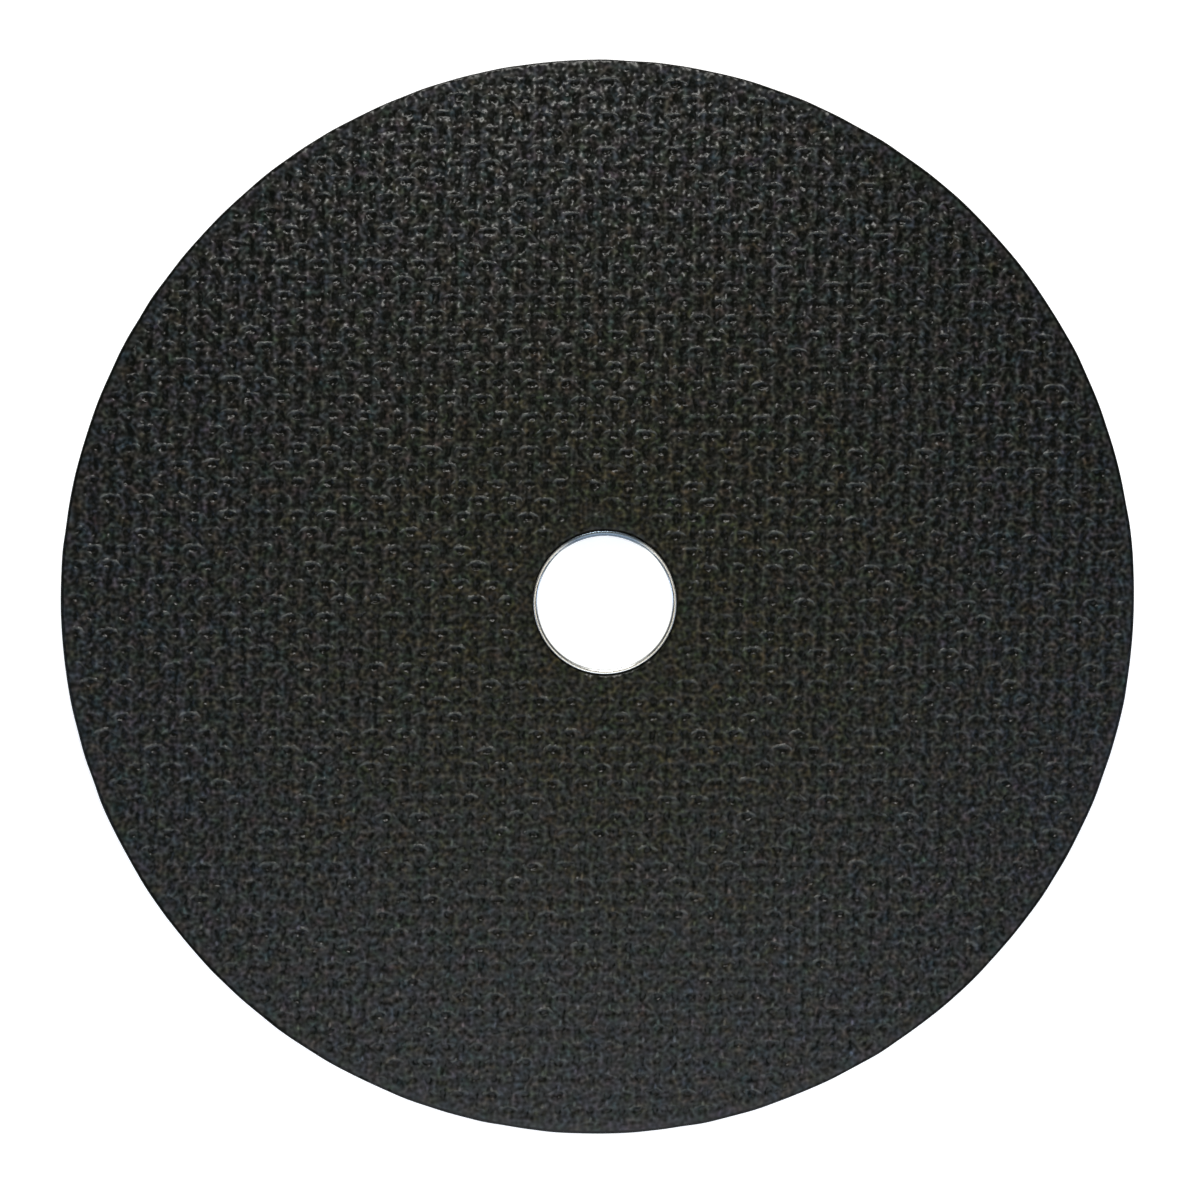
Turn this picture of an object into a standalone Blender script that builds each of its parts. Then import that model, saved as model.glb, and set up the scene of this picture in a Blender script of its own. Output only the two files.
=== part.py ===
# Flat reinforced cut-off wheel for an angle grinder. An abrasive disc is moulded with woven glass
# cloth in both faces, and a drawn steel ring lines its spindle hole.
# Metres, +Z up. The wheel lies on its hidden face at z = 0, with the spindle hole on the Z axis.

import math

import bmesh
import bpy
from mathutils import Matrix, Vector
from mathutils.geometry import delaunay_2d_cdt

# Abrasive disc
WHEEL_DIAMETER = 0.180
WHEEL_THICKNESS = 0.003  # over the crowns of the cloth in both faces
RIM_CHAMFER = 0.0003
PLAIN_BORDER = 0.0015  # the cloth stops this far short of the rim
BORDER_DROP = 0.0001  # the plain border lies this far under the crowns

# Glass cloth
YARN_PITCH = 0.00276
WEAVE_RELIEF = 0.0003  # from a crown down to the pocket beside it
CLOTH_MARGIN = 0.0008  # the weave fades out over this width at its edges

# Steel ring
SPINDLE_HOLE_DIAMETER = 0.02223
RING_SHEET = 0.0005
BEND_RADIUS = 0.0001  # of both bends, on the side of the disc
LIP_WIDTH = 0.00085  # from the hole to the edge of the lip
FLANGE_WIDTH = 0.0039  # from the hole to the edge of the flange

# Fit of the ring in the disc
SEAT_GAP = 0.0003

# Fineness of the round forms
RIM_SEGMENTS = 96
RING_SEGMENTS = 48
BEND_SEGMENTS = 3
WELD_DISTANCE = 0.000001

# Places that follow from the sizes above
RIM_RADIUS = WHEEL_DIAMETER / 2
HOLE_RADIUS = SPINDLE_HOLE_DIAMETER / 2
SLEEVE_RADIUS = HOLE_RADIUS + RING_SHEET
LIP_RADIUS = HOLE_RADIUS + LIP_WIDTH
FLANGE_RADIUS = HOLE_RADIUS + FLANGE_WIDTH
TOP = WHEEL_THICKNESS
TOP_BORDER = WHEEL_THICKNESS - BORDER_DROP
BOTTOM_BORDER = BORDER_DROP
CLOTH_RADIUS = RIM_RADIUS - PLAIN_BORDER
LIP_SEAT_RADIUS = LIP_RADIUS + SEAT_GAP
FLANGE_SEAT_RADIUS = FLANGE_RADIUS + SEAT_GAP


def clear_scene():
    for obj in list(bpy.data.objects):
        bpy.data.objects.remove(obj)


def material(name, color, roughness, metallic):
    made = bpy.data.materials.new(name)
    made.use_nodes = True
    shader = made.node_tree.nodes["Principled BSDF"]
    shader.inputs["Base Color"].default_value = (*color, 1)
    shader.inputs["Roughness"].default_value = roughness
    shader.inputs["Metallic"].default_value = metallic
    return made


def arc(center, radius, start, end, segments=BEND_SEGMENTS):
    """Points (r, z) of an arc in the profile plane, from one angle to another, in degrees."""
    points = []
    for step in range(segments + 1):
        angle = math.radians(start + (end - start) * step / segments)
        points.append((center[0] + radius * math.cos(angle), center[1] + radius * math.sin(angle)))
    return points


def rim_profile():
    """From the edge of the upper cloth over the rim to the edge of the lower cloth."""
    return [
        (CLOTH_RADIUS, TOP_BORDER),
        (RIM_RADIUS - RIM_CHAMFER, TOP_BORDER),
        (RIM_RADIUS, TOP_BORDER - RIM_CHAMFER),
        (RIM_RADIUS, BOTTOM_BORDER + RIM_CHAMFER),
        (RIM_RADIUS - RIM_CHAMFER, BOTTOM_BORDER),
        (CLOTH_RADIUS, BOTTOM_BORDER),
    ]


def bore_profile():
    """The seats of the lip and the flange, with the bore between them."""
    seat_depth = RING_SHEET + SEAT_GAP
    bore_radius = SLEEVE_RADIUS + SEAT_GAP
    return [
        (LIP_SEAT_RADIUS, TOP_BORDER),
        (LIP_SEAT_RADIUS, TOP - seat_depth),
        (bore_radius, TOP - seat_depth),
        (bore_radius, seat_depth),
        (FLANGE_SEAT_RADIUS, seat_depth),
        (FLANGE_SEAT_RADIUS, BOTTOM_BORDER),
    ]


def ring_profile():
    """Sheet of one thickness, bent outwards into the lip at the top and the flange below."""
    bend_axis = SLEEVE_RADIUS + BEND_RADIUS
    fold = RING_SHEET + BEND_RADIUS
    upper_bend = (bend_axis, TOP - fold)
    lower_bend = (bend_axis, fold)
    return [
        (LIP_RADIUS, TOP),
        (LIP_RADIUS, TOP - RING_SHEET),
        *arc(upper_bend, BEND_RADIUS, 90, 180),
        *arc(lower_bend, BEND_RADIUS, 180, 270),
        (FLANGE_RADIUS, RING_SHEET),
        (FLANGE_RADIUS, 0),
        *arc(lower_bend, fold, 270, 180),
        *arc(upper_bend, fold, 180, 90),
    ]


def turn(bm, profile, segments):
    """Turn an open profile once round the Z axis."""
    verts = [bm.verts.new((r, 0, z)) for r, z in profile]
    edges = [bm.edges.new(pair) for pair in zip(verts, verts[1:])]
    bmesh.ops.spin(
        bm,
        geom=verts + edges,
        cent=(0, 0, 0),
        axis=(0, 0, 1),
        angle=2 * math.pi,
        steps=segments,
        use_merge=True,
    )


def circle(radius, height, segments):
    start = Vector((radius, 0, height))
    return [Matrix.Rotation(2 * math.pi * k / segments, 3, "Z") @ start for k in range(segments)]


def loop_edges(first, count):
    return [(first + k, first + (k + 1) % count) for k in range(count)]


def cloth_face(bm, points, folds, outer, inner):
    """Join the points of a cloth to the circles at its edges, keeping every fold as an edge."""
    inner_first = len(points) + len(outer)
    everything = [*points, *outer, *inner]
    edges = [*folds, *loop_edges(len(points), len(outer)), *loop_edges(inner_first, len(inner))]
    flat = [point.xy for point in everything]
    coords, _, faces, sources, _, _ = delaunay_2d_cdt(flat, edges, [], 0, WELD_DISTANCE / 10)
    verts = [bm.verts.new((*xy, everything[ids[0]].z)) for xy, ids in zip(coords, sources)]
    for face in faces:
        if not all(sources[index][0] >= inner_first for index in face):
            bm.faces.new([verts[index] for index in face])


def on_cloth(point, inner_radius):
    return inner_radius + CLOTH_MARGIN <= point.xy.length <= CLOTH_RADIUS - CLOTH_MARGIN


def woven_cloth(inner_radius):
    """One point at each crossing of the yarns, a crown and a pocket by turns both ways."""
    count = int(RIM_RADIUS / YARN_PITCH)
    points = []
    place = {}
    for column in range(-count, count + 1):
        for row in range(-count, count + 1):
            drop = WEAVE_RELIEF if (column + row) % 2 else 0
            point = Vector((column * YARN_PITCH, row * YARN_PITCH, TOP - drop))
            if on_cloth(point, inner_radius):
                place[column, row] = len(points)
                points.append(point)
    # Each square of four crossings folds between its two pockets, so the crowns stand alone.
    folds = []
    for column, row in place:
        across = ((0, 0), (1, 1)) if (column + row) % 2 else ((1, 0), (0, 1))
        ends = [(column + dx, row + dy) for dx, dy in across]
        if all(end in place for end in ends):
            folds.append(tuple(place[end] for end in ends))
    return points, folds


def ribbed_cloth(inner_radius):
    """The hidden cloth shows its weft yarns only: a crest along each, a furrow between two."""
    half_pitch = YARN_PITCH / 2
    outer_end = CLOTH_RADIUS - CLOTH_MARGIN
    inner_end = inner_radius + CLOTH_MARGIN
    count = int((outer_end - half_pitch) / half_pitch)
    points = []
    folds = []
    for line in range(-count, count + 1):
        y = line * half_pitch
        z = WEAVE_RELIEF if line % 2 else 0
        far = math.sqrt(outer_end**2 - y**2)
        # A line that clears the bore still has a point on the Y axis, which keeps the faces
        # round the bore from reaching out to the rim.
        near = math.sqrt(max(inner_end**2 - y**2, 0))
        for start, end in ((-far, -near), (near, far)):
            folds.append((len(points), len(points) + 1))
            points += [Vector((start, y, z)), Vector((end, y, z))]
    return points, folds


def place_in(collection, name, mesh, made_of):
    mesh.materials.append(made_of)
    obj = bpy.data.objects.new(name, mesh)
    collection.objects.link(obj)
    return obj


def abrasive_disc(collection):
    bm = bmesh.new()
    turn(bm, rim_profile(), RIM_SEGMENTS)
    turn(bm, bore_profile(), RING_SEGMENTS)
    for cloth, height, inner_radius in (
        (woven_cloth, TOP_BORDER, LIP_SEAT_RADIUS),
        (ribbed_cloth, BOTTOM_BORDER, FLANGE_SEAT_RADIUS),
    ):
        outer = circle(CLOTH_RADIUS, height, RIM_SEGMENTS)
        inner = circle(inner_radius, height, RING_SEGMENTS)
        cloth_face(bm, *cloth(inner_radius), outer, inner)
    bmesh.ops.remove_doubles(bm, verts=bm.verts, dist=WELD_DISTANCE)
    bmesh.ops.recalc_face_normals(bm, faces=bm.faces)
    mesh = bpy.data.meshes.new("abrasive_disc")
    bm.to_mesh(mesh)
    bm.free()
    black_resin = material("black_resin_abrasive", (0.026, 0.027, 0.026), 0.7, 0)
    return place_in(collection, "abrasive_disc", mesh, black_resin)


def arbor_ring(collection):
    profile = ring_profile()
    mesh = bpy.data.meshes.new("arbor_ring")
    mesh.from_pydata([(r, 0, z) for r, z in profile], loop_edges(0, len(profile)), [])
    ring = place_in(collection, "arbor_ring", mesh, material("plated_steel", (0.6, 0.62, 0.63), 0.3, 1))
    screw = ring.modifiers.new("turn", "SCREW")
    screw.angle = 2 * math.pi
    screw.steps = RING_SEGMENTS
    screw.render_steps = RING_SEGMENTS
    screw.use_merge_vertices = True
    screw.merge_threshold = WELD_DISTANCE
    screw.use_smooth_shade = True
    return ring


def main():
    clear_scene()
    wheel = bpy.data.collections.new("cut_off_wheel")
    bpy.context.scene.collection.children.link(wheel)
    abrasive_disc(wheel)
    arbor_ring(wheel)


main()
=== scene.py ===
import math

import bpy
import numpy as np
from mathutils import Matrix, Vector
from mathutils.geometry import delaunay_2d_cdt


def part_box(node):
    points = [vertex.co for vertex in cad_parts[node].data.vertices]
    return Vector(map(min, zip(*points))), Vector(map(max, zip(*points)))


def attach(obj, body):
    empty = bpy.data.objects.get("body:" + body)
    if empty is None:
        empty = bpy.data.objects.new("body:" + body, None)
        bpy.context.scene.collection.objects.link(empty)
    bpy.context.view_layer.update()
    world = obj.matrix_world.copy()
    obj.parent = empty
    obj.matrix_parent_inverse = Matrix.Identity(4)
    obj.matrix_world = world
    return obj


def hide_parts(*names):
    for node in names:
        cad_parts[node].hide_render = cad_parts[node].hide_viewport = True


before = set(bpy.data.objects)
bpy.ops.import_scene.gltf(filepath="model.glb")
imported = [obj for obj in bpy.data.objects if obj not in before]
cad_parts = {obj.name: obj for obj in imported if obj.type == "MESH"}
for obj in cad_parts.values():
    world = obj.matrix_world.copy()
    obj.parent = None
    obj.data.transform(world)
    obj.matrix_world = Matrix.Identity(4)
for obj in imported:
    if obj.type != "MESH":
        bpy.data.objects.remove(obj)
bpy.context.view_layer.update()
mm = 0.001
mergeDistance = 1e-6  # mm
discLow, discHigh = (np.array(corner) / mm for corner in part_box("abrasive_disc"))
ringLow, ringHigh = (np.array(corner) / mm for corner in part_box("arbor_ring"))
print("frame loaded, disc", discLow.round(2), discHigh.round(2), "ring", ringLow.round(2), ringHigh.round(2))


def linear(hexColour):  # an sRGB hex colour as linear red, green, blue and alpha
    channels = [int(hexColour[k:k + 2], 16) / 255 for k in (1, 3, 5)]
    return (*[c / 12.92 if c <= 0.04045 else ((c + 0.055) / 1.055) ** 2.4 for c in channels], 1)


def addNode(tree, kind, inputs=None, **settings):  # a node with its settings, values and links
    node = tree.nodes.new(kind)
    for name, value in settings.items():
        setattr(node, name, value)
    for key, value in (inputs or {}).items():
        if isinstance(value, bpy.types.Node):
            value = value.outputs[0]
        if isinstance(value, bpy.types.NodeSocket):
            tree.links.new(value, node.inputs[key])
        else:
            node.inputs[key].default_value = value
    return node


def newMaterial(name):  # an empty tree with a Principled shader and an output
    made = bpy.data.materials.new(name)
    made.use_nodes = True
    made.node_tree.nodes.clear()
    shader = addNode(made.node_tree, "ShaderNodeBsdfPrincipled")
    addNode(made.node_tree, "ShaderNodeOutputMaterial", {"Surface": shader})
    return made, made.node_tree, shader


def wander(x, y, size, seed):
    # Smooth noise from -1 to 1: random values on a grid of squares of that size, with its middle
    # at the origin, each square filled by a blend of its corners that starts and ends level.
    half = 128
    values = np.random.default_rng(seed).uniform(-1, 1, (2 * half, 2 * half))
    u, v = x / size + half, y / size + half
    i, j = np.floor(u).astype(int), np.floor(v).astype(int)
    s, t = u - i, v - j
    s, t = s * s * (3 - 2 * s), t * t * (3 - 2 * t)
    near = values[i, j] * (1 - s) + values[i + 1, j] * s
    far = values[i, j + 1] * (1 - s) + values[i + 1, j + 1] * s
    return near * (1 - t) + far * t


def smoothStep(x, start, end):  # 0 before start, 1 after end, level at both
    t = np.clip((x - start) / (end - start), 0, 1)
    return t * t * (3 - 2 * t)


def buildPiece(name, points, quads, triangles, material, sharpAngle):
    # Points in mm as an array of rows, faces as arrays of point numbers.
    corners = np.concatenate([quads.ravel(), triangles.ravel()]).astype(np.int32)
    starts = np.concatenate([np.arange(len(quads)) * 4, len(quads) * 4 + np.arange(len(triangles)) * 3])
    mesh = bpy.data.meshes.new(name)
    mesh.vertices.add(len(points))
    mesh.vertices.foreach_set("co", (points * mm).astype(np.float32).ravel())
    mesh.loops.add(len(corners))
    mesh.loops.foreach_set("vertex_index", corners)
    mesh.polygons.add(len(starts))
    mesh.polygons.foreach_set("loop_start", starts.astype(np.int32))
    mesh.update(calc_edges=True)
    mesh.materials.append(material)
    mesh.shade_smooth()
    mesh.set_sharp_from_angle(angle=math.radians(sharpAngle))
    piece = bpy.data.objects.new(name, mesh)
    bpy.context.scene.collection.objects.link(piece)
    print(name, "has", len(quads) * 2 + len(triangles), "triangles")
    return piece


# Glass cloth in the face of the disc, pressed so hard that it reads as rows of overlapping scales.
# A crown, where a weft yarn passes over a warp yarn, has a bowed ridge with a pocket below it. Then
# comes the pillow of the warp float, with a slot between the scales. Places and sizes of these parts
# are in pitches, u along the weft and v along the warp, and their falls, depths and drops in mm.
# The weave isn't the same on both sides of the wheel: bow, lift, pocketPlace, slotPlace and depth
# have one value for each end of "across" and change evenly between them.
faceCloth = {
    "warpPitch": 2.752,
    "weftPitch": 2.757,
    "warpTurn": -2.03,       # degrees, from the Y axis
    "weftTurn": 0.40,        # degrees, from the X axis
    "firstCrown": (3.40, 3.58),
    "across": (-65, 45),     # the y at which such a pair has its first and its second value
    "bow": (0.60, 0.20),     # droop of the ridge, a whole pitch away from the crown
    "lift": (-0.16, 0.10),   # from the crown up to the ridge
    "ridgeFall": 0.30,       # of the ridge itself, a whole pitch away from the crown
    "ridgeWidth": (0.22, 0.20),    # below and above the ridge, where it is ridgeDepth deep
    "ridgeDepth": 0.15,
    "pillowPlace": 0.40,     # above the middle of the warp float
    "pillowSize": (0.78, 0.92),    # to each side along u and v, where it is pillowDepth deep
    "pillowDepth": 0.11,
    "pillowDrop": 0.02,      # how far its top lies under the ridge
    "blend": 0.03,           # roundness of the crease between ridge and pillow
    "sink": 0.01,            # of both, to make up for that roundness
    "pocketPlace": (-0.44, -0.12),     # above the crown
    "pocketSize": (0.26, 0.19),
    "pocketDepth": 0.13,
    "slotPlace": (-0.42, -0.11),   # above the middle of the warp float
    "slotSize": (0.18, 0.32),
    "slotDepth": 0.07,
    "depth": (1.0, 0.75),    # share of the relief
    "unevenness": 0.12,      # share by which the relief comes and goes
    "unevenSize": 3.1,       # mm
    "roughness": 0.05,       # mm, of the grains
    "roughSize": 0.75,       # mm
    "sideways": 0.10,        # mm that the yarns stray from their straight rows
    "sidewaysSize": 4.0,     # pitches
    "spareYarns": 4,         # beyond the rim on each side, cut away again
    "columnSteps": 5,        # mesh columns and rows for each yarn
    "rowSteps": 6,
    "seed": 11,
}
backCloth = {**faceCloth, "warpTurn": 1.6, "weftTurn": -0.7, "firstCrown": (0.9, 1.3), "seed": 47}

# The disc that carries it
disc = {
    "border": 1.5,           # plain strip from the cloth to the rim
    "borderDrop": 0.1,       # how far it lies under the crowns
    "chamfer": 0.3,
    "shoulder": 0.78,        # from the rim to where the border starts to round over
    "shoulderDrop": 0.02,
    "corner": 0.09,          # way in from the rim and down at the middle of that rounding
    "seatEdge": 0.08,        # bevel of the ring's seat
    "weaveEnds": (0.5, 0.35),      # least way from the weave's squares to the seat and the border
    "borderFade": (0.8, 0.2),      # from the border, where the weave starts and ends to flatten out
    "boreFade": (-0.5, 6.0),       # from the ring's seat, where it is flat and where it is full
    "segments": 480,
    "rimUneven": 0.08,       # how far the edge strays
    "rimUnevenSize": 4.2,
    "rimSeed": 5,
    "sharpAngle": 50,        # degrees
}


def latticeOf(cloth):
    # Rows of the matrix that turns x and y into columns and lines.
    warp, weft = math.radians(cloth["warpTurn"]), math.radians(cloth["weftTurn"])
    return np.array([
        [math.cos(warp) / cloth["warpPitch"], math.sin(warp) / cloth["warpPitch"]],
        [math.sin(weft) / cloth["weftPitch"], math.cos(weft) / cloth["weftPitch"]],
    ])


def clothPlace(column, row, shift):
    # Pitches from the nearest crown, or with a shift of a half, from the middle of the nearest
    # warp float. Crowns lie where half the sum and half the difference of the counts are whole.
    first, second = (column + row) / 2 + shift, (column - row) / 2 + shift
    first, second = first - np.round(first), second - np.round(second)
    return first + second, first - second


def bell(u, v, place, size):
    return np.exp(-(u / size[0]) ** 2 - ((v - place) / size[1]) ** 2)


def clothRelief(cloth, column, row, x, y):
    # Height in mm, 0 at the highest. The ridge and the pillow are parabolas, the upper of the two
    # shows, and the pocket and the slot are bells sunk into them.
    bow, lift, pocketPlace, slotPlace, depth = (
        np.interp(y, cloth["across"], cloth[part])
        for part in ("bow", "lift", "pocketPlace", "slotPlace", "depth")
    )
    u, v = clothPlace(column, row, 0)
    fromRidge = v - lift + bow / 2 * (1 - np.cos(np.pi * u))
    width = np.where(fromRidge < 0, *cloth["ridgeWidth"])
    ridge = -cloth["ridgeFall"] * u**2 - cloth["ridgeDepth"] * (fromRidge / width) ** 2
    uFloat, vFloat = clothPlace(column, row, 0.5)
    fromPillow = (uFloat / cloth["pillowSize"][0]) ** 2
    fromPillow = fromPillow + ((vFloat - cloth["pillowPlace"]) / cloth["pillowSize"][1]) ** 2
    pillow = -cloth["pillowDrop"] - cloth["pillowDepth"] * fromPillow
    height = (ridge + pillow + np.sqrt((ridge - pillow) ** 2 + cloth["blend"] ** 2)) / 2 - cloth["sink"]
    height = height - cloth["pocketDepth"] * bell(u, v, pocketPlace, cloth["pocketSize"])
    height = height - cloth["slotDepth"] * bell(uFloat, vFloat, slotPlace, cloth["slotSize"])
    uneven = wander(x, y, cloth["unevenSize"], cloth["seed"])
    rough = wander(x, y, cloth["roughSize"], cloth["seed"] + 1)
    height = height * depth * (1 + cloth["unevenness"] * uneven)
    return np.minimum(height, 0) + cloth["roughness"] * (rough - 1)


def clothGrid(cloth, innerRadius, outerRadius):
    # The patch of the weave that lies wholly between two circles, as points, counts and quads.
    reach = int(outerRadius / min(cloth["warpPitch"], cloth["weftPitch"])) + cloth["spareYarns"]
    columns = np.arange(-reach * cloth["columnSteps"], reach * cloth["columnSteps"] + 1)
    rows = np.arange(-reach * cloth["rowSteps"], reach * cloth["rowSteps"] + 1)
    column, row = np.meshgrid(columns / cloth["columnSteps"], rows / cloth["rowSteps"])
    flat = np.linalg.inv(latticeOf(cloth)) @ np.stack([column, row]).reshape(2, -1)
    x, y = (flat + np.array(cloth["firstCrown"])[:, None]).reshape(2, *column.shape)
    x = x + cloth["sideways"] * wander(column, row, cloth["sidewaysSize"], cloth["seed"] + 2)
    y = y + cloth["sideways"] * wander(column, row, cloth["sidewaysSize"], cloth["seed"] + 3)
    radius = np.hypot(x, y)
    inside = (radius > innerRadius) & (radius < outerRadius)
    kept = inside[:-1, :-1] & inside[1:, :-1] & inside[1:, 1:] & inside[:-1, 1:]
    number = np.arange(x.size).reshape(x.shape)
    quads = np.stack([number[:-1, :-1], number[:-1, 1:], number[1:, 1:], number[1:, :-1]], -1)[kept]
    used, quads = np.unique(quads, return_inverse=True)
    counts = np.stack([column.ravel()[used], row.ravel()[used]], 1)
    return np.stack([x.ravel()[used], y.ravel()[used]], 1), counts, quads.reshape(-1, 4)


def openEdges(quads):  # the edges that only one face has
    edges = np.concatenate([quads[:, [k, (k + 1) % 4]] for k in range(4)])
    pairs, times = np.unique(np.sort(edges, 1), axis=0, return_counts=True)
    return pairs[times == 1]


def stripBetween(flat, loops):
    # Triangles over every place from which a ray crosses the closed loops an odd number of times.
    used, edges = np.unique(loops, return_inverse=True)
    corners = [Vector(point) for point in flat[used]]
    joined = delaunay_2d_cdt(corners, edges.reshape(-1, 2).tolist(), [], 0, mergeDistance)
    sources = np.array([source[0] for source in joined[3]])
    triangles = used[sources[np.array(joined[2])]]
    x, y = flat[triangles].mean(1).T[:, :, None]
    (x0, y0), (x1, y1) = flat[loops[:, 0]].T, flat[loops[:, 1]].T
    level = (y0 > y) != (y1 > y)
    rise = np.where(y1 == y0, 1, y1 - y0)
    crossed = level & (x < x0 + (y - y0) / rise * (x1 - x0))
    return triangles[crossed.sum(1) % 2 == 1]


def circlePoints(radius, height, segments):
    angle = np.arange(segments) * 2 * np.pi / segments
    radius = radius + np.zeros(segments)
    return np.stack([radius * np.cos(angle), radius * np.sin(angle), height + np.zeros(segments)], 1)


def bandQuads(first, rings, segments):  # quads between circles that follow each other
    circle, step = np.meshgrid(np.arange(rings - 1), np.arange(segments), indexing="ij")
    a = first + circle * segments + step
    b = first + circle * segments + (step + 1) % segments
    return np.stack([a, b, b + segments, a + segments], -1).reshape(-1, 4)


def discLayer(name, cloth, seat, upwards, material):
    # Half of the disc, from its woven face to the middle plane, worked out face up. The circles of
    # points run from the cloth over the rim, along the middle plane, up the bore and round the
    # seat of the steel ring, back to the cloth.
    segments, chamfer, bevel = disc["segments"], disc["chamfer"], disc["seatEdge"]
    top, middle, rim = discHigh[2], (discLow[2] + discHigh[2]) / 2, discHigh[0]
    border, clothEdge = top - disc["borderDrop"], rim - disc["border"]
    angle = np.arange(segments) * 2 * np.pi / segments
    stray = wander(rim * np.cos(angle), rim * np.sin(angle), disc["rimUnevenSize"], disc["rimSeed"])
    edge = rim + disc["rimUneven"] * (stray - 1)
    circlesOfPoints = [
        (clothEdge, border),
        (rim - disc["shoulder"], border),
        (edge - chamfer, border - disc["shoulderDrop"]),
        (edge - disc["corner"], border - disc["corner"]),
        (edge, border - chamfer),
        (edge, middle),
        (seat["bore"], middle),
        (seat["bore"], top - seat["depth"]),
        (seat["radius"], top - seat["depth"]),
        (seat["radius"], border - bevel),
        (seat["radius"] + bevel, border),
    ]
    circles = np.concatenate([circlePoints(r, z, segments) for r, z in circlesOfPoints])
    innerEnd, outerEnd = disc["weaveEnds"]
    flat, counts, quads = clothGrid(cloth, seat["radius"] + innerEnd, clothEdge - outerEnd)
    radius = np.hypot(*flat.T)
    boreFlat, boreFull = disc["boreFade"]
    borderFull, borderFlat = disc["borderFade"]
    fade = smoothStep(radius, seat["radius"] + boreFlat, seat["radius"] + boreFull)
    fade = fade * (1 - smoothStep(radius, clothEdge - borderFull, clothEdge - borderFlat))
    relief = clothRelief(cloth, counts[:, 0], counts[:, 1], flat[:, 0], flat[:, 1])
    height = top + fade * relief - (1 - fade) * disc["borderDrop"]
    points = np.concatenate([np.column_stack([flat, height]), circles])

    # A strip of triangles joins the stepped edge of the weave to the circles on both sides of it.
    outer = len(flat) + np.arange(segments)
    inner = outer + (len(circlesOfPoints) - 1) * segments
    loops = np.concatenate([
        openEdges(quads),
        np.stack([outer, np.roll(outer, -1)], 1),
        np.stack([inner, np.roll(inner, -1)], 1),
    ])
    strip = stripBetween(points[:, :2], loops)

    quads = np.concatenate([quads, bandQuads(len(flat), len(circlesOfPoints), segments)[:, ::-1]])
    onCircles = (circles[:, :2] - np.array(cloth["firstCrown"])) @ latticeOf(cloth).T
    counts = np.concatenate([counts, onCircles])
    if not upwards:
        points[:, 2] = discLow[2] + discHigh[2] - points[:, 2]
        quads, strip = quads[:, ::-1], strip[:, ::-1]
    piece = buildPiece(name, points, quads, strip, material, disc["sharpAngle"])

    # For the material: half the sum and half the difference of the counts, and the weave's share
    weave = piece.data.attributes.new("weave", "FLOAT_VECTOR", "POINT")
    halves = np.stack([counts.sum(1), counts[:, 0] - counts[:, 1]], 1) / 2
    shares = np.column_stack([halves, np.concatenate([fade, np.zeros(len(circles))])])
    weave.data.foreach_set("vector", shares.astype(np.float32).ravel())
    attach(piece, "root")
    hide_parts("abrasive_disc")
    return piece


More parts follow.
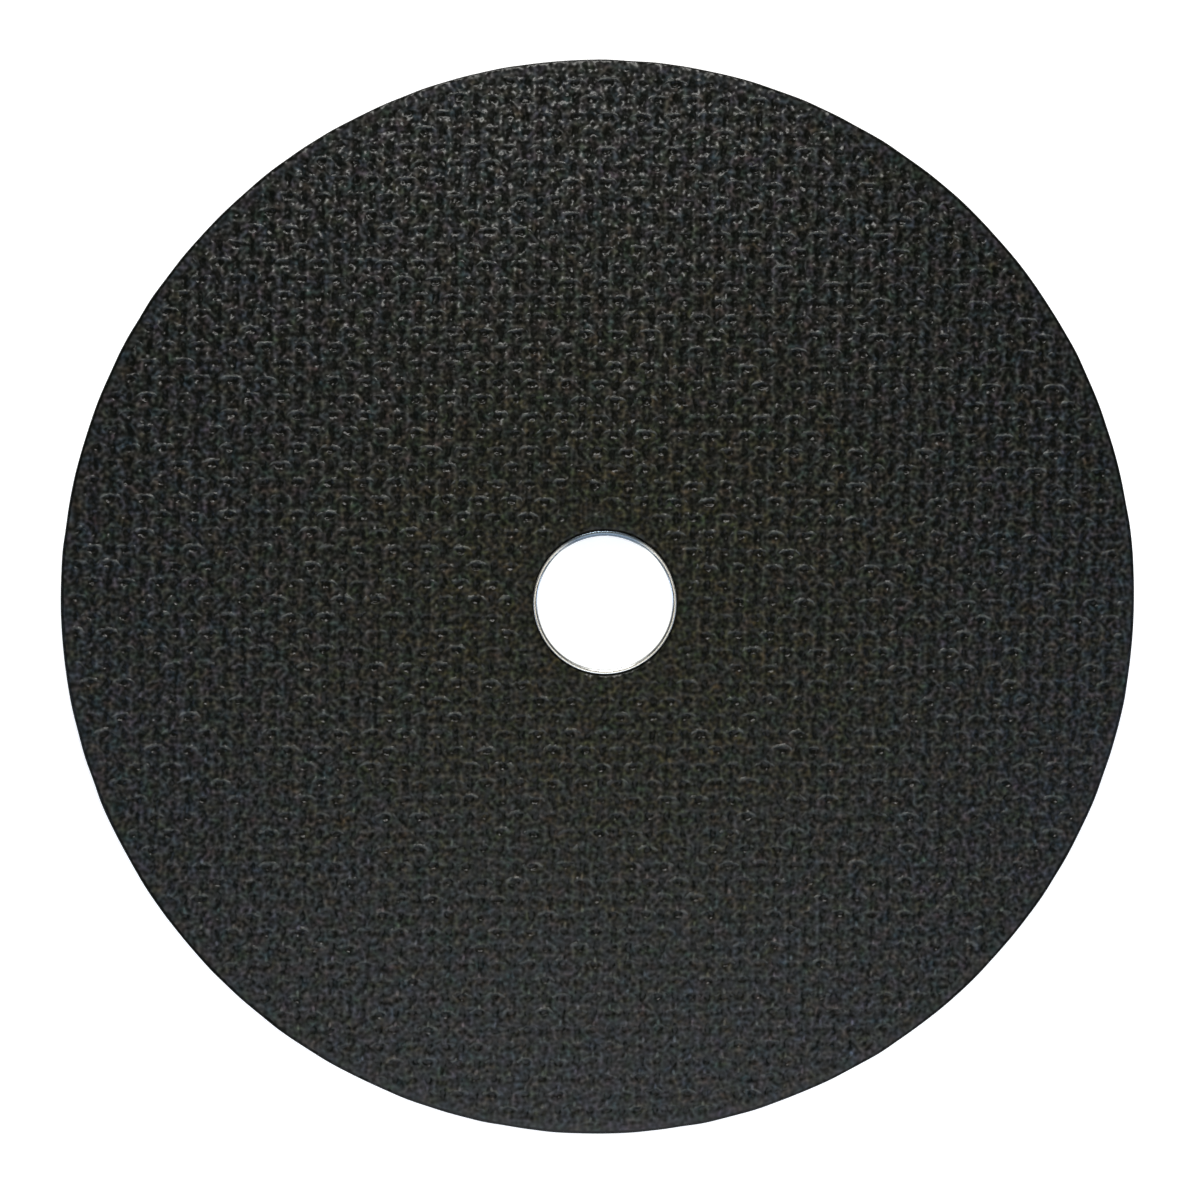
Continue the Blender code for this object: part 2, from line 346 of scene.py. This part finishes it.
# Resin-bonded abrasive: fused alumina grit in black phenolic resin, hot pressed against glass
# cloth. Each grain has its own shade and facet, so the face glitters finely. The resin is nearly
# black. A pale painted highlight lies on the ridges of the crowns, and painted shade darkens the
# pockets and slots. Shades run from resin at 0 to grit at 1. A pair with a "Shown" or "pale" name,
# and the place of the highlight above the crown and calmness, changes across the face as the
# cloth's pairs do. A "Shown" value is what its part adds to the shade, apart from paleShown.
# Places and sizes of the weave's parts are in pitches, as above.
abrasive = {
    "resin": "#070804",
    "grit": "#62625c",
    "gritSize": 0.78,
    "gritDetail": 0.2,       # noise octaves
    "gritSlant": 0.8,        # sideways by this share of z, so that the rim's grains aren't streaks
    "gritRange": (0.12, 0.88),     # noise levels that give the shades 0 and 1
    "gritSpread": 0.72,      # shade of the palest grains
    "gritPower": 2.5,        # makes pale grains rare
    "facetTilt": 0.68,       # how far the grains lean
    "calmness": (0.80, 1.0),       # share of the grains' own shade and lean; below 1 on the near side, where the pull towards borderShade is a painted sheen
    "calmBorder": 0.75,      # factor on it on the plain border, where resin has flowed over them
    "calmPlace": (1.9, 1.3),       # ways from the rim between which that sets in
    "borderShade": 0.88,     # shade that calm grains come near to
    "edgePlace": (0.7, 0.45),      # ways from the rim between which the dark edge sets in
    "edgeShown": -0.5,
    "sway": 0.12,            # pitches by which the weave wanders
    "swaySize": 1.2,
    "swayDetail": 1.0,       # noise octaves
    "stray": 0.13,           # pitches by which each crown and float strays
    "spotEdge": (1.4, 0.5),  # shares of a spot's size between which it fades in
    "crest": "#7d807c",      # painted highlight on the pale ridges
    "paleLift": (-0.20, 0.13),     # pitches from the crown up to the pale ridge
    "paleBow": (0.55, 0.0),        # its droop by the square of the way along it
    "paleHook": (0.0, 1.0),        # and by the fourth power
    "paleWidth": (0.18, 0.10),
    "paleShown": (0.09, 0.16),     # share of the highlight colour
    "ridgeEnds": (0.55, 0.22),     # squares of the way along, between which it sets in
    "ridgeDip": (0.06, 0.6),       # square of the way within which it is faint, and its least share
    "ridgeStrengthRange": (0.40, 0.62),     # noise levels between which the ridge and its painted highlight go from none to their full share
    "ridgeStrengthShare": 2.1,
    "chanceShare": (0.4, 1.6),     # share of the pale ridge and the pocket, by chance
    "crownHighlightPlace": (-0.08, 0.25),    # painted highlight above the crown
    "crownHighlightSize": (0.09, 0.17),
    "nickShown": (0.30, 0.0),
    "pillowHighlightPlace": 0.52,       # a reddish painted highlight on the pillow, above the middle of the warp float
    "pillowHighlightSize": (0.11, 0.18),
    "wearShown": (0.02, 0.13),
    "wearTint": (1.10, 0.97, 0.97, 1),
    "pillowSize": (0.55, 0.42),    # of its tint
    "pillowTint": (1.02, 1.0, 0.93, 1),
    # painted shade in the pocket
    "pocketShown": (-0.10, -0.42),
    # painted shade in the slot, with a blue-black tint
    "slotShown": (-0.17, -0.34),
    "slotTint": (0.90, 1.0, 1.02, 1),
    "furrowShown": (-0.015, -0.08),    # along every warp yarn
    "ridgeHeight": 0.045,    # fine relief, added to the cloth's
    "pocketHeight": -0.10,
    "slotHeight": -0.06,
    "stainSize": 2.5,
    "stainStrength": (1.0, 0, 0.95),   # in red, green and blue
    "tintRadii": (80, 15),   # between which the rim's bluish painted sheen turns to the core's olive tint
    "rimSheenTint": (0.975, 1.02, 1.16, 1),
    "coreTint": (0.92, 0.92, 0.67, 1),
    "roughness": 0.32,
    "ior": 1.28,
}


def acrossFace(tree, place, pair):  # a value that changes from the near to the far side of the face
    north = addNode(tree, "ShaderNodeSeparateXYZ", {0: place}).outputs["Y"]
    start, end = faceCloth["across"]
    return addNode(tree, "ShaderNodeMapRange",
                   {0: north, 1: start * mm, 2: end * mm, 3: pair[0], 4: pair[1]})


def nearestCrossing(tree, halves, shift):
    # As clothPlace, with a stray of each crossing's own, and a chance from 0 to 1 of its own.
    moved = addNode(tree, "ShaderNodeVectorMath", {0: halves, 1: (shift, shift, 0)}, operation="ADD")
    offset = addNode(tree, "ShaderNodeVectorMath", {0: moved, 1: (0.5, 0.5, 0.5), 2: (-0.5, -0.5, -0.5)},
                     operation="WRAP")
    u = addNode(tree, "ShaderNodeVectorMath", {0: offset, 1: (1, 1, 0)}, operation="DOT_PRODUCT")
    v = addNode(tree, "ShaderNodeVectorMath", {0: offset, 1: (1, -1, 0)}, operation="DOT_PRODUCT")
    ways = addNode(tree, "ShaderNodeCombineXYZ", {0: u.outputs["Value"], 1: v.outputs["Value"]})
    number = addNode(tree, "ShaderNodeVectorMath", {0: moved, 1: (0.5, 0.5, 0)}, operation="ADD")
    number = addNode(tree, "ShaderNodeVectorMath", {0: number}, operation="FLOOR")
    chance = addNode(tree, "ShaderNodeTexWhiteNoise", {"Vector": number}, noise_dimensions="2D")
    stray = abrasive["stray"]
    ways = addNode(tree, "ShaderNodeVectorMath",
                   {0: chance.outputs["Color"], 1: (stray, stray, 0), 2: ways}, operation="MULTIPLY_ADD")
    ways = addNode(tree, "ShaderNodeVectorMath", {0: ways, 1: (-stray / 2, -stray / 2, 0)},
                   operation="ADD")
    return ways, chance.outputs["Value"]


def spotMask(tree, ways, centre, size, share):  # 1 inside an ellipse, 0 outside, with a soft edge
    middle = addNode(tree, "ShaderNodeCombineXYZ", {1: centre})
    scaled = addNode(tree, "ShaderNodeVectorMath", {0: ways, 1: middle}, operation="SUBTRACT")
    scaled = addNode(tree, "ShaderNodeVectorMath", {0: scaled, 1: (1 / size[0], 1 / size[1], 0)},
                     operation="MULTIPLY")
    reach = addNode(tree, "ShaderNodeVectorMath", {0: scaled}, operation="LENGTH").outputs["Value"]
    outside, inside = abrasive["spotEdge"]
    mask = addNode(tree, "ShaderNodeMapRange", {0: reach, 1: outside, 2: inside},
                   interpolation_type="SMOOTHSTEP")
    return addNode(tree, "ShaderNodeMath", {0: mask, 1: share}, operation="MULTIPLY")


def paleRidge(tree, place, ways, share):
    # The ridge's painted highlight lies nearly straight over the crown, droops and thins out towards its
    # ends.
    u, v, _ = addNode(tree, "ShaderNodeSeparateXYZ", {0: ways}).outputs
    square = addNode(tree, "ShaderNodeMath", {0: u, 1: u}, operation="MULTIPLY")
    hook, bow, lift, width = (
        acrossFace(tree, place, abrasive[part]) for part in ("paleHook", "paleBow", "paleLift", "paleWidth")
    )
    droop = addNode(tree, "ShaderNodeMath", {0: square, 1: hook, 2: bow}, operation="MULTIPLY_ADD")
    away = addNode(tree, "ShaderNodeMath", {0: droop, 1: square, 2: v}, operation="MULTIPLY_ADD")
    away = addNode(tree, "ShaderNodeMath", {0: away, 1: lift}, operation="SUBTRACT")
    away = addNode(tree, "ShaderNodeMath", {0: away}, operation="ABSOLUTE")
    ridge = addNode(tree, "ShaderNodeMapRange", {0: away, 1: width, 2: 0.0},
                    interpolation_type="SMOOTHSTEP")
    outside, inside = abrasive["ridgeEnds"]
    along = addNode(tree, "ShaderNodeMapRange", {0: square, 1: outside, 2: inside},
                    interpolation_type="SMOOTHSTEP")
    dipEnd, dipShare = abrasive["ridgeDip"]
    dip = addNode(tree, "ShaderNodeMapRange", {0: square, 1: 0.0, 2: dipEnd, 3: dipShare, 4: 1.0})
    for part in (along, dip, share):
        ridge = addNode(tree, "ShaderNodeMath", {0: ridge, 1: part}, operation="MULTIPLY")
    return ridge


def weaveMasks(tree, place):  # from 0 to 1 for the parts of the weave, worked out from the yarn counts
    weave = addNode(tree, "ShaderNodeAttribute", attribute_name="weave").outputs["Vector"]
    share = addNode(tree, "ShaderNodeSeparateXYZ", {0: weave}).outputs["Z"]
    noise = addNode(tree, "ShaderNodeTexNoise", {
        "Vector": place, "Scale": 1 / (abrasive["swaySize"] * mm), "Detail": abrasive["swayDetail"],
    }).outputs["Color"]
    sway = abrasive["sway"]
    halves = addNode(tree, "ShaderNodeVectorMath",
                     {0: noise, 1: (sway, sway, 0), 2: (-sway / 2, -sway / 2, 0)},
                     operation="MULTIPLY_ADD")
    halves = addNode(tree, "ShaderNodeVectorMath", {0: weave, 1: halves}, operation="ADD")
    fromCrown, chance = nearestCrossing(tree, halves, 0)
    fromFloat, _ = nearestCrossing(tree, halves, 0.5)
    pocketPlace = acrossFace(tree, place, faceCloth["pocketPlace"])
    slotPlace = acrossFace(tree, place, faceCloth["slotPlace"])
    crownHighlightPlace = acrossFace(tree, place, abrasive["crownHighlightPlace"])
    masks = {
        "ridge": paleRidge(tree, place, fromCrown, share),
        "pocket": spotMask(tree, fromCrown, pocketPlace, faceCloth["pocketSize"], share),
        "nick": spotMask(tree, fromCrown, crownHighlightPlace, abrasive["crownHighlightSize"], share),
        "slot": spotMask(tree, fromFloat, slotPlace, faceCloth["slotSize"], share),
        "pillow": spotMask(tree, fromFloat, faceCloth["pillowPlace"], abrasive["pillowSize"], share),
        "wear": spotMask(tree, fromFloat, abrasive["pillowHighlightPlace"], abrasive["pillowHighlightSize"], share),
    }

    # Some crossings stand out, others are buried in resin, and a noise makes the ridges and their painted
    # highlights come and go.
    ridgeStrength = addNode(tree, "ShaderNodeSeparateXYZ", {0: noise}).outputs["Z"]
    weakest, strongest = abrasive["ridgeStrengthRange"]
    ridgeStrength = addNode(tree, "ShaderNodeMapRange",
                   {0: ridgeStrength, 1: weakest, 2: strongest, 3: 0.0, 4: abrasive["ridgeStrengthShare"]})
    low, high = abrasive["chanceShare"]
    chance = addNode(tree, "ShaderNodeMapRange", {0: chance, 1: 0.0, 2: 1.0, 3: low, 4: high})
    for name, part in (("ridge", ridgeStrength), ("ridge", chance), ("pocket", chance)):
        masks[name] = addNode(tree, "ShaderNodeMath", {0: masks[name], 1: part}, operation="MULTIPLY")

    # The furrows are a cosine of the column count, which is the sum of the two halves.
    furrow = addNode(tree, "ShaderNodeVectorMath", {0: halves, 1: (2 * math.pi, 2 * math.pi, 0)},
                     operation="DOT_PRODUCT").outputs["Value"]
    furrow = addNode(tree, "ShaderNodeMath", {0: furrow}, operation="COSINE")
    masks["furrow"] = addNode(tree, "ShaderNodeMath", {0: furrow, 1: share}, operation="MULTIPLY")
    return masks


def abrasiveMaterial():
    made, tree, shader = newMaterial("resin_bonded_abrasive")
    place = addNode(tree, "ShaderNodeTexCoord").outputs["Object"]
    masks = weaveMasks(tree, place)
    radius = addNode(tree, "ShaderNodeVectorMath", {0: place, 1: (1, 1, 0)}, operation="MULTIPLY")
    radius = addNode(tree, "ShaderNodeVectorMath", {0: radius}, operation="LENGTH").outputs["Value"]

    # Grains, calmer on the plain border, and on the near side as a painted sheen
    calmStart, calmEnd = (discHigh[0] - way for way in abrasive["calmPlace"])
    calm = addNode(tree, "ShaderNodeMapRange",
                   {0: radius, 1: calmStart * mm, 2: calmEnd * mm, 3: 1.0, 4: abrasive["calmBorder"]})
    calmness = acrossFace(tree, place, abrasive["calmness"])
    calm = addNode(tree, "ShaderNodeMath", {0: calm, 1: calmness}, operation="MULTIPLY")
    level = addNode(tree, "ShaderNodeSeparateXYZ", {0: place}).outputs["Z"]
    slant = abrasive["gritSlant"]
    slanted = addNode(tree, "ShaderNodeVectorMath", {0: level, 1: (slant, slant, 0), 2: place},
                      operation="MULTIPLY_ADD")
    grains = addNode(tree, "ShaderNodeTexNoise", {
        "Vector": slanted, "Scale": 1 / (abrasive["gritSize"] * mm), "Detail": abrasive["gritDetail"],
    }, noise_dimensions="2D").outputs["Color"]
    shade = addNode(tree, "ShaderNodeSeparateXYZ", {0: grains}).outputs["Z"]
    darkest, palest = abrasive["gritRange"]
    shade = addNode(tree, "ShaderNodeMapRange", {0: shade, 1: darkest, 2: palest})
    shade = addNode(tree, "ShaderNodeMix", {0: calm, 2: abrasive["borderShade"], 3: shade}).outputs[0]
    shade = addNode(tree, "ShaderNodeMath", {0: shade, 1: abrasive["gritSpread"]}, operation="MULTIPLY")

    # The dark edge and the parts of the weave change the shade: painted highlights above the crowns and
    # on the pillows, painted shade in the pockets and slots. Some add fine relief.
    edgeStart, edgeEnd = (discHigh[0] - way for way in abrasive["edgePlace"])
    edge = addNode(tree, "ShaderNodeMapRange",
                   {0: radius, 1: edgeStart * mm, 2: edgeEnd * mm, 3: 0.0, 4: abrasive["edgeShown"]})
    shade = addNode(tree, "ShaderNodeMath", {0: shade, 1: edge}, operation="ADD")
    for part in ("wear", "nick", "furrow", "pocket", "slot"):
        shown = acrossFace(tree, place, abrasive[part + "Shown"])
        shade = addNode(tree, "ShaderNodeMath", {0: masks[part], 1: shown, 2: shade},
                        operation="MULTIPLY_ADD")
    shade = addNode(tree, "ShaderNodeMath", {0: shade, 1: 0.0}, operation="MAXIMUM")
    shade = addNode(tree, "ShaderNodeMath", {0: shade, 1: abrasive["gritPower"]}, operation="POWER")
    height = 0.0
    for part in ("ridge", "pocket", "slot"):
        height = addNode(tree, "ShaderNodeMath",
                         {0: masks[part], 1: abrasive[part + "Height"] * mm, 2: height},
                         operation="MULTIPLY_ADD")
    base = addNode(tree, "ShaderNodeMix",
                   {0: shade, 6: linear(abrasive["resin"]), 7: linear(abrasive["grit"])},
                   data_type="RGBA").outputs[2]

    # Faint stains of red and blue that wander apart, and a tint from olive at the core to bluish at the rim,
    # where the bluish tint is a painted sheen
    strength = abrasive["stainStrength"]
    tintPatch = addNode(tree, "ShaderNodeTexNoise", {
        "Vector": place, "Scale": 1 / (abrasive["stainSize"] * mm), "Detail": 0.0,
    }).outputs["Color"]
    tintPatch = addNode(tree, "ShaderNodeVectorMath",
                    {0: tintPatch, 1: strength, 2: [1 - part / 2 for part in strength]},
                    operation="MULTIPLY_ADD").outputs[0]
    rimward, coreward = abrasive["tintRadii"]
    core = addNode(tree, "ShaderNodeMapRange", {0: radius, 1: rimward * mm, 2: coreward * mm},
                   interpolation_type="SMOOTHSTEP")
    core = addNode(tree, "ShaderNodeMix", {0: core, 6: abrasive["rimSheenTint"], 7: abrasive["coreTint"]},
                   data_type="RGBA").outputs[2]
    for tint in (tintPatch, core):
        base = addNode(tree, "ShaderNodeMix", {0: 1.0, 6: base, 7: tint}, data_type="RGBA",
                       blend_type="MULTIPLY").outputs[2]

    # Pale painted highlights on the ridges, olive pillows, painted blue-black shade in the slots and reddish
    # painted highlights on the pillows
    shown = acrossFace(tree, place, abrasive["paleShown"])
    crest = addNode(tree, "ShaderNodeMath", {0: masks["ridge"], 1: shown}, operation="MULTIPLY",
                    use_clamp=True)
    base = addNode(tree, "ShaderNodeMix", {0: crest, 6: base, 7: linear(abrasive["crest"])},
                   data_type="RGBA").outputs[2]
    for part in ("pillow", "slot", "wear"):
        base = addNode(tree, "ShaderNodeMix", {0: masks[part], 6: base, 7: abrasive[part + "Tint"]},
                       data_type="RGBA", blend_type="MULTIPLY").outputs[2]

    # Facets: each grain leans its own way.
    bump = addNode(tree, "ShaderNodeBump", {"Height": height, "Strength": 1.0, "Distance": 1.0})
    tilt = abrasive["facetTilt"]
    leaning = addNode(tree, "ShaderNodeVectorMath",
                      {0: grains, 1: (tilt, tilt, 0), 2: (-tilt / 2, -tilt / 2, 0)},
                      operation="MULTIPLY_ADD")
    leaning = addNode(tree, "ShaderNodeVectorMath", {0: leaning, "Scale": calm}, operation="SCALE")
    normal = addNode(tree, "ShaderNodeVectorMath", {0: bump, 1: leaning}, operation="ADD")
    normal = addNode(tree, "ShaderNodeVectorMath", {0: normal}, operation="NORMALIZE")
    tree.links.new(base, shader.inputs["Base Color"])
    tree.links.new(normal.outputs[0], shader.inputs["Normal"])
    shader.inputs["Roughness"].default_value = abrasive["roughness"]
    shader.inputs["IOR"].default_value = abrasive["ior"]
    return made


# Zinc-plated steel, blanked and drawn from sheet: a soft satin shine, slightly mottled. Its far side carries
# a painted reflection of the bluish sky.
ring = {
    "hole": 11.115,          # radius
    "sheet": 0.5,
    "lipWidth": 0.85,
    "bend": 0.6,             # outer radius of both bends
    "edgeRadius": 0.12,      # of the cut edges on the outside
    "cutEdge": 0.03,         # bevel of the cut edges on the side of the disc
    "gap": 0.3,              # all round, to the disc
    "segments": 240,
    "bendSteps": 9,
    "edgeSteps": 5,
    "sharpAngle": 60,        # degrees
    "colour": "#eff0ed",
    "tintPatch": "#66727d",      # painted reflection of the bluish sky, on the far side
    "reflectionPlace": (8.0, 10.6),     # the y between which it sets in
    "roughness": 0.25,
    "mottleSize": 1.111,
    "mottleDetail": 2.0,     # noise octaves
    "mottleRange": (0.3, 0.7),     # noise levels of the lowest and the highest roughness
    "mottleRough": 0.04,     # how far the roughness strays
    "mottleBump": 0.003,
}


def arcPoints(centre, radius, start, end, steps):  # an arc in the r and z plane, angles in degrees
    angle = np.radians(np.linspace(start, end, steps))
    return np.stack([centre[0] + radius * np.cos(angle), centre[1] + radius * np.sin(angle)], 1)


def steelRing(material):
    # One section of the sheet, carried round the Z axis: a lip at the top, the sleeve, and a
    # flange below. The cut edges are slightly rounded by the press tool.
    hole, bottom, top, flange = ring["hole"], ringLow[2], ringHigh[2], ringHigh[0]
    lip = hole + ring["lipWidth"]
    bend, sheet, edge, cut = (ring[part] for part in ("bend", "sheet", "edgeRadius", "cutEdge"))
    inside, bendSteps, edgeSteps = bend - sheet, ring["bendSteps"], ring["edgeSteps"]
    upperBend, lowerBend = (hole + bend, top - bend), (hole + bend, bottom + bend)
    section = np.concatenate([
        arcPoints((lip - edge, top - edge), edge, 90, 0, edgeSteps),
        [(lip, top - sheet + cut), (lip - cut, top - sheet)],
        arcPoints(upperBend, inside, 90, 180, edgeSteps),
        arcPoints(lowerBend, inside, 180, 270, edgeSteps),
        [(flange - cut, bottom + sheet), (flange, bottom + sheet - cut)],
        arcPoints((flange - edge, bottom + edge), edge, 0, -90, edgeSteps),
        arcPoints(lowerBend, bend, 270, 180, bendSteps),
        arcPoints(upperBend, bend, 180, 90, bendSteps),
    ])
    segments, count = ring["segments"], len(section)
    angle = np.arange(segments) * 2 * np.pi / segments
    radius, height = section[:, :1], section[:, 1:]
    points = np.stack([radius * np.cos(angle), radius * np.sin(angle), height + 0 * angle], -1)
    last = bandQuads((count - 1) * segments, 2, segments)
    last[:, 2:] -= count * segments
    quads = np.concatenate([bandQuads(0, count, segments), last])
    noTriangles = np.zeros((0, 3), int)
    piece = buildPiece("steel_ring", points.reshape(-1, 3), quads, noTriangles, material, ring["sharpAngle"])
    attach(piece, "root")
    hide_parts("arbor_ring")
    return piece


def steelMaterial():
    made, tree, shader = newMaterial("zinc_plated_steel")
    place = addNode(tree, "ShaderNodeTexCoord").outputs["Object"]
    mottle = addNode(tree, "ShaderNodeTexNoise", {
        "Vector": place, "Scale": 1 / (ring["mottleSize"] * mm), "Detail": ring["mottleDetail"],
    }).outputs[0]
    low, high = ring["mottleRange"]
    smoothest, roughest = ring["roughness"] - ring["mottleRough"], ring["roughness"] + ring["mottleRough"]
    rough = addNode(tree, "ShaderNodeMapRange", {0: mottle, 1: low, 2: high, 3: smoothest, 4: roughest})
    bump = addNode(tree, "ShaderNodeBump", {"Height": mottle, "Distance": ring["mottleBump"] * mm})
    north = addNode(tree, "ShaderNodeSeparateXYZ", {0: place}).outputs["Y"]
    bright, reflecting = ring["reflectionPlace"]
    reflected = addNode(tree, "ShaderNodeMapRange", {0: north, 1: bright * mm, 2: reflecting * mm},
                    interpolation_type="SMOOTHSTEP")
    colour = addNode(tree, "ShaderNodeMix", {0: reflected, 6: linear(ring["colour"]), 7: linear(ring["tintPatch"])},
                     data_type="RGBA").outputs[2]
    tree.links.new(colour, shader.inputs["Base Color"])
    tree.links.new(rough.outputs[0], shader.inputs["Roughness"])
    tree.links.new(bump.outputs[0], shader.inputs["Normal"])
    shader.inputs["Metallic"].default_value = 1.0
    return made


lipSeat = {
    "radius": ring["hole"] + ring["lipWidth"] + ring["gap"],
    "bore": ring["hole"] + ring["sheet"] + ring["gap"],
    "depth": ring["sheet"] + ring["gap"],
}
flangeSeat = {**lipSeat, "radius": ringHigh[0] + ring["gap"]}
blackAbrasive = abrasiveMaterial()
discLayer("woven_face", faceCloth, lipSeat, True, blackAbrasive)
discLayer("woven_back", backCloth, flangeSeat, False, blackAbrasive)
steelRing(steelMaterial())
print("pieces made")


# Studio: white paper under the wheel, a key from beyond its far side, a wide fill and a low lamp
# from its near side, one lamp over it, and a weak bluish lamp low on each side
studio = {
    "lamps": [  # name, place, side of the square, radiance and colour
        ("key", (-20, 380, 380), 90, 75.0, "#fffefa"),
        ("fill", (20, -260, 380), 340, 1.75, "#f6f9ff"),
        ("low", (0, -260, 150), 230, 1.15, "#e2edfa"),
        ("over", (20, -20, 460), 110, 1.6, "#fff6e2"),
        ("sideLeft", (-190, -40, 110), 80, 2.2, "#cadeff"),
        ("sideRight", (190, -40, 110), 80, 2.2, "#cadeff"),
    ],
    "floorSize": 4000,
    "floorColour": "#f2f2f2",
    "floorRoughness": 0.9,
    "floorDrop": 0.05,       # under the wheel
    "floorGlow": 0.55,       # for the rays that show the background
    "worldStrength": 0.28,   # for all other rays
    "ceiling": 0.06,         # strength overhead, as the ring and the face mirror it
    "ceilingRange": (0.05, 0.5),   # upward parts of a ray between which it sets in
    "nearColour": "#9fb2c6",       # of the sky towards -Y, as they mirror it
    "nearRange": (0.1, -0.7),      # parts of a ray towards +Y between which it sets in
    "cameraPlace": (-17.89, 13.86, 334.8),
    "cameraAim": (-0.846, 0.426, 3.0),
    "lens": 59.7,
    "sensor": 36,
    "clip": (10, 20000),
}


def softLamp(name, place, size, radiance, colour):
    # A square area lamp that looks at the wheel. Its power is radiance * pi * area in watts.
    lamp = bpy.data.lights.new(name, "AREA")
    lamp.shape = "SQUARE"
    lamp.size = size * mm
    lamp.energy = radiance * math.pi * (size * mm) ** 2
    lamp.color = linear(colour)[:3]
    holder = bpy.data.objects.new(name, lamp)
    holder.location = Vector(place) * mm
    holder.rotation_mode = "QUATERNION"
    holder.rotation_quaternion = (-Vector(place)).to_track_quat("-Z", "Y")
    bpy.context.scene.collection.objects.link(holder)
    return holder


def seenRays(tree):  # 1 for the rays that show the background: camera, glossy and transmission
    rays = addNode(tree, "ShaderNodeLightPath")
    seen = addNode(tree, "ShaderNodeMath",
                   {0: rays.outputs["Is Camera Ray"], 1: rays.outputs["Is Glossy Ray"]},
                   operation="MAXIMUM")
    return addNode(tree, "ShaderNodeMath", {0: seen, 1: rays.outputs["Is Transmission Ray"]},
                   operation="MAXIMUM")


def studioWorld():
    # White for the camera. What the wheel mirrors is dim overhead and bluish on the near side.
    world = bpy.data.worlds.new("studio")
    bpy.context.scene.world = world
    world.use_nodes = True
    tree = world.node_tree
    tree.nodes.clear()
    camera = addNode(tree, "ShaderNodeLightPath").outputs["Is Camera Ray"]
    ahead = addNode(tree, "ShaderNodeTexCoord").outputs["Generated"]
    _, away, upward = addNode(tree, "ShaderNodeSeparateXYZ", {0: ahead}).outputs
    far, near = studio["nearRange"]
    away = addNode(tree, "ShaderNodeMapRange", {0: away, 1: near, 2: far}, interpolation_type="SMOOTHSTEP")
    away = addNode(tree, "ShaderNodeMath", {0: away, 1: camera}, operation="MAXIMUM")
    colour = addNode(tree, "ShaderNodeMix", {0: away, 6: linear(studio["nearColour"]), 7: (1, 1, 1, 1)},
                     data_type="RGBA").outputs[2]
    low, high = studio["ceilingRange"]
    ceiling = addNode(tree, "ShaderNodeMapRange",
                      {0: upward, 1: low, 2: high, 3: 1.0, 4: studio["ceiling"]},
                      interpolation_type="SMOOTHSTEP")
    level = addNode(tree, "ShaderNodeMapRange", {0: seenRays(tree), 3: studio["worldStrength"], 4: ceiling})
    shade = addNode(tree, "ShaderNodeBackground", {"Color": colour, "Strength": level})
    addNode(tree, "ShaderNodeOutputWorld", {"Surface": shade})


def studioFloor():
    half = studio["floorSize"] / 2 * mm
    corners = [(-half, -half, 0), (half, -half, 0), (half, half, 0), (-half, half, 0)]
    mesh = bpy.data.meshes.new("floor")
    mesh.from_pydata(corners, [], [(0, 1, 2, 3)])
    floor = bpy.data.objects.new("floor", mesh)
    floor.location.z = (discLow[2] - studio["floorDrop"]) * mm
    bpy.context.scene.collection.objects.link(floor)
    made, tree, shader = newMaterial("white_paper")
    shader.inputs["Base Color"].default_value = linear(studio["floorColour"])
    shader.inputs["Roughness"].default_value = studio["floorRoughness"]
    glow = addNode(tree, "ShaderNodeEmission", {"Color": (1, 1, 1, 1), "Strength": studio["floorGlow"]})
    dark = addNode(tree, "ShaderNodeEmission", {"Color": (0, 0, 0, 1), "Strength": 0.0})
    chosen = addNode(tree, "ShaderNodeMixShader", {0: seenRays(tree), 1: dark, 2: glow})
    both = addNode(tree, "ShaderNodeAddShader", {0: shader, 1: chosen})
    output = next(n for n in tree.nodes if n.bl_idname == "ShaderNodeOutputMaterial")
    tree.links.new(both.outputs[0], output.inputs["Surface"])
    mesh.materials.append(made)


def studioCamera():
    lens = bpy.data.cameras.new("camera")
    lens.sensor_width = studio["sensor"]
    lens.lens = studio["lens"]
    lens.clip_start, lens.clip_end = (way * mm for way in studio["clip"])
    camera = bpy.data.objects.new("camera", lens)
    camera.location = Vector(studio["cameraPlace"]) * mm
    back = (Vector(studio["cameraPlace"]) - Vector(studio["cameraAim"])).normalized()
    right = Vector((0, 1, 0)).cross(back).normalized()  # the top of the wheel points up in the picture
    camera.rotation_mode = "QUATERNION"
    camera.rotation_quaternion = Matrix((right, back.cross(right), back)).transposed().to_quaternion()
    bpy.context.scene.collection.objects.link(camera)
    bpy.context.scene.camera = camera


for lampValues in studio["lamps"]:
    softLamp(*lampValues)
studioWorld()
studioFloor()
studioCamera()
bpy.context.scene.view_settings.view_transform = "Standard"
print("studio ready")
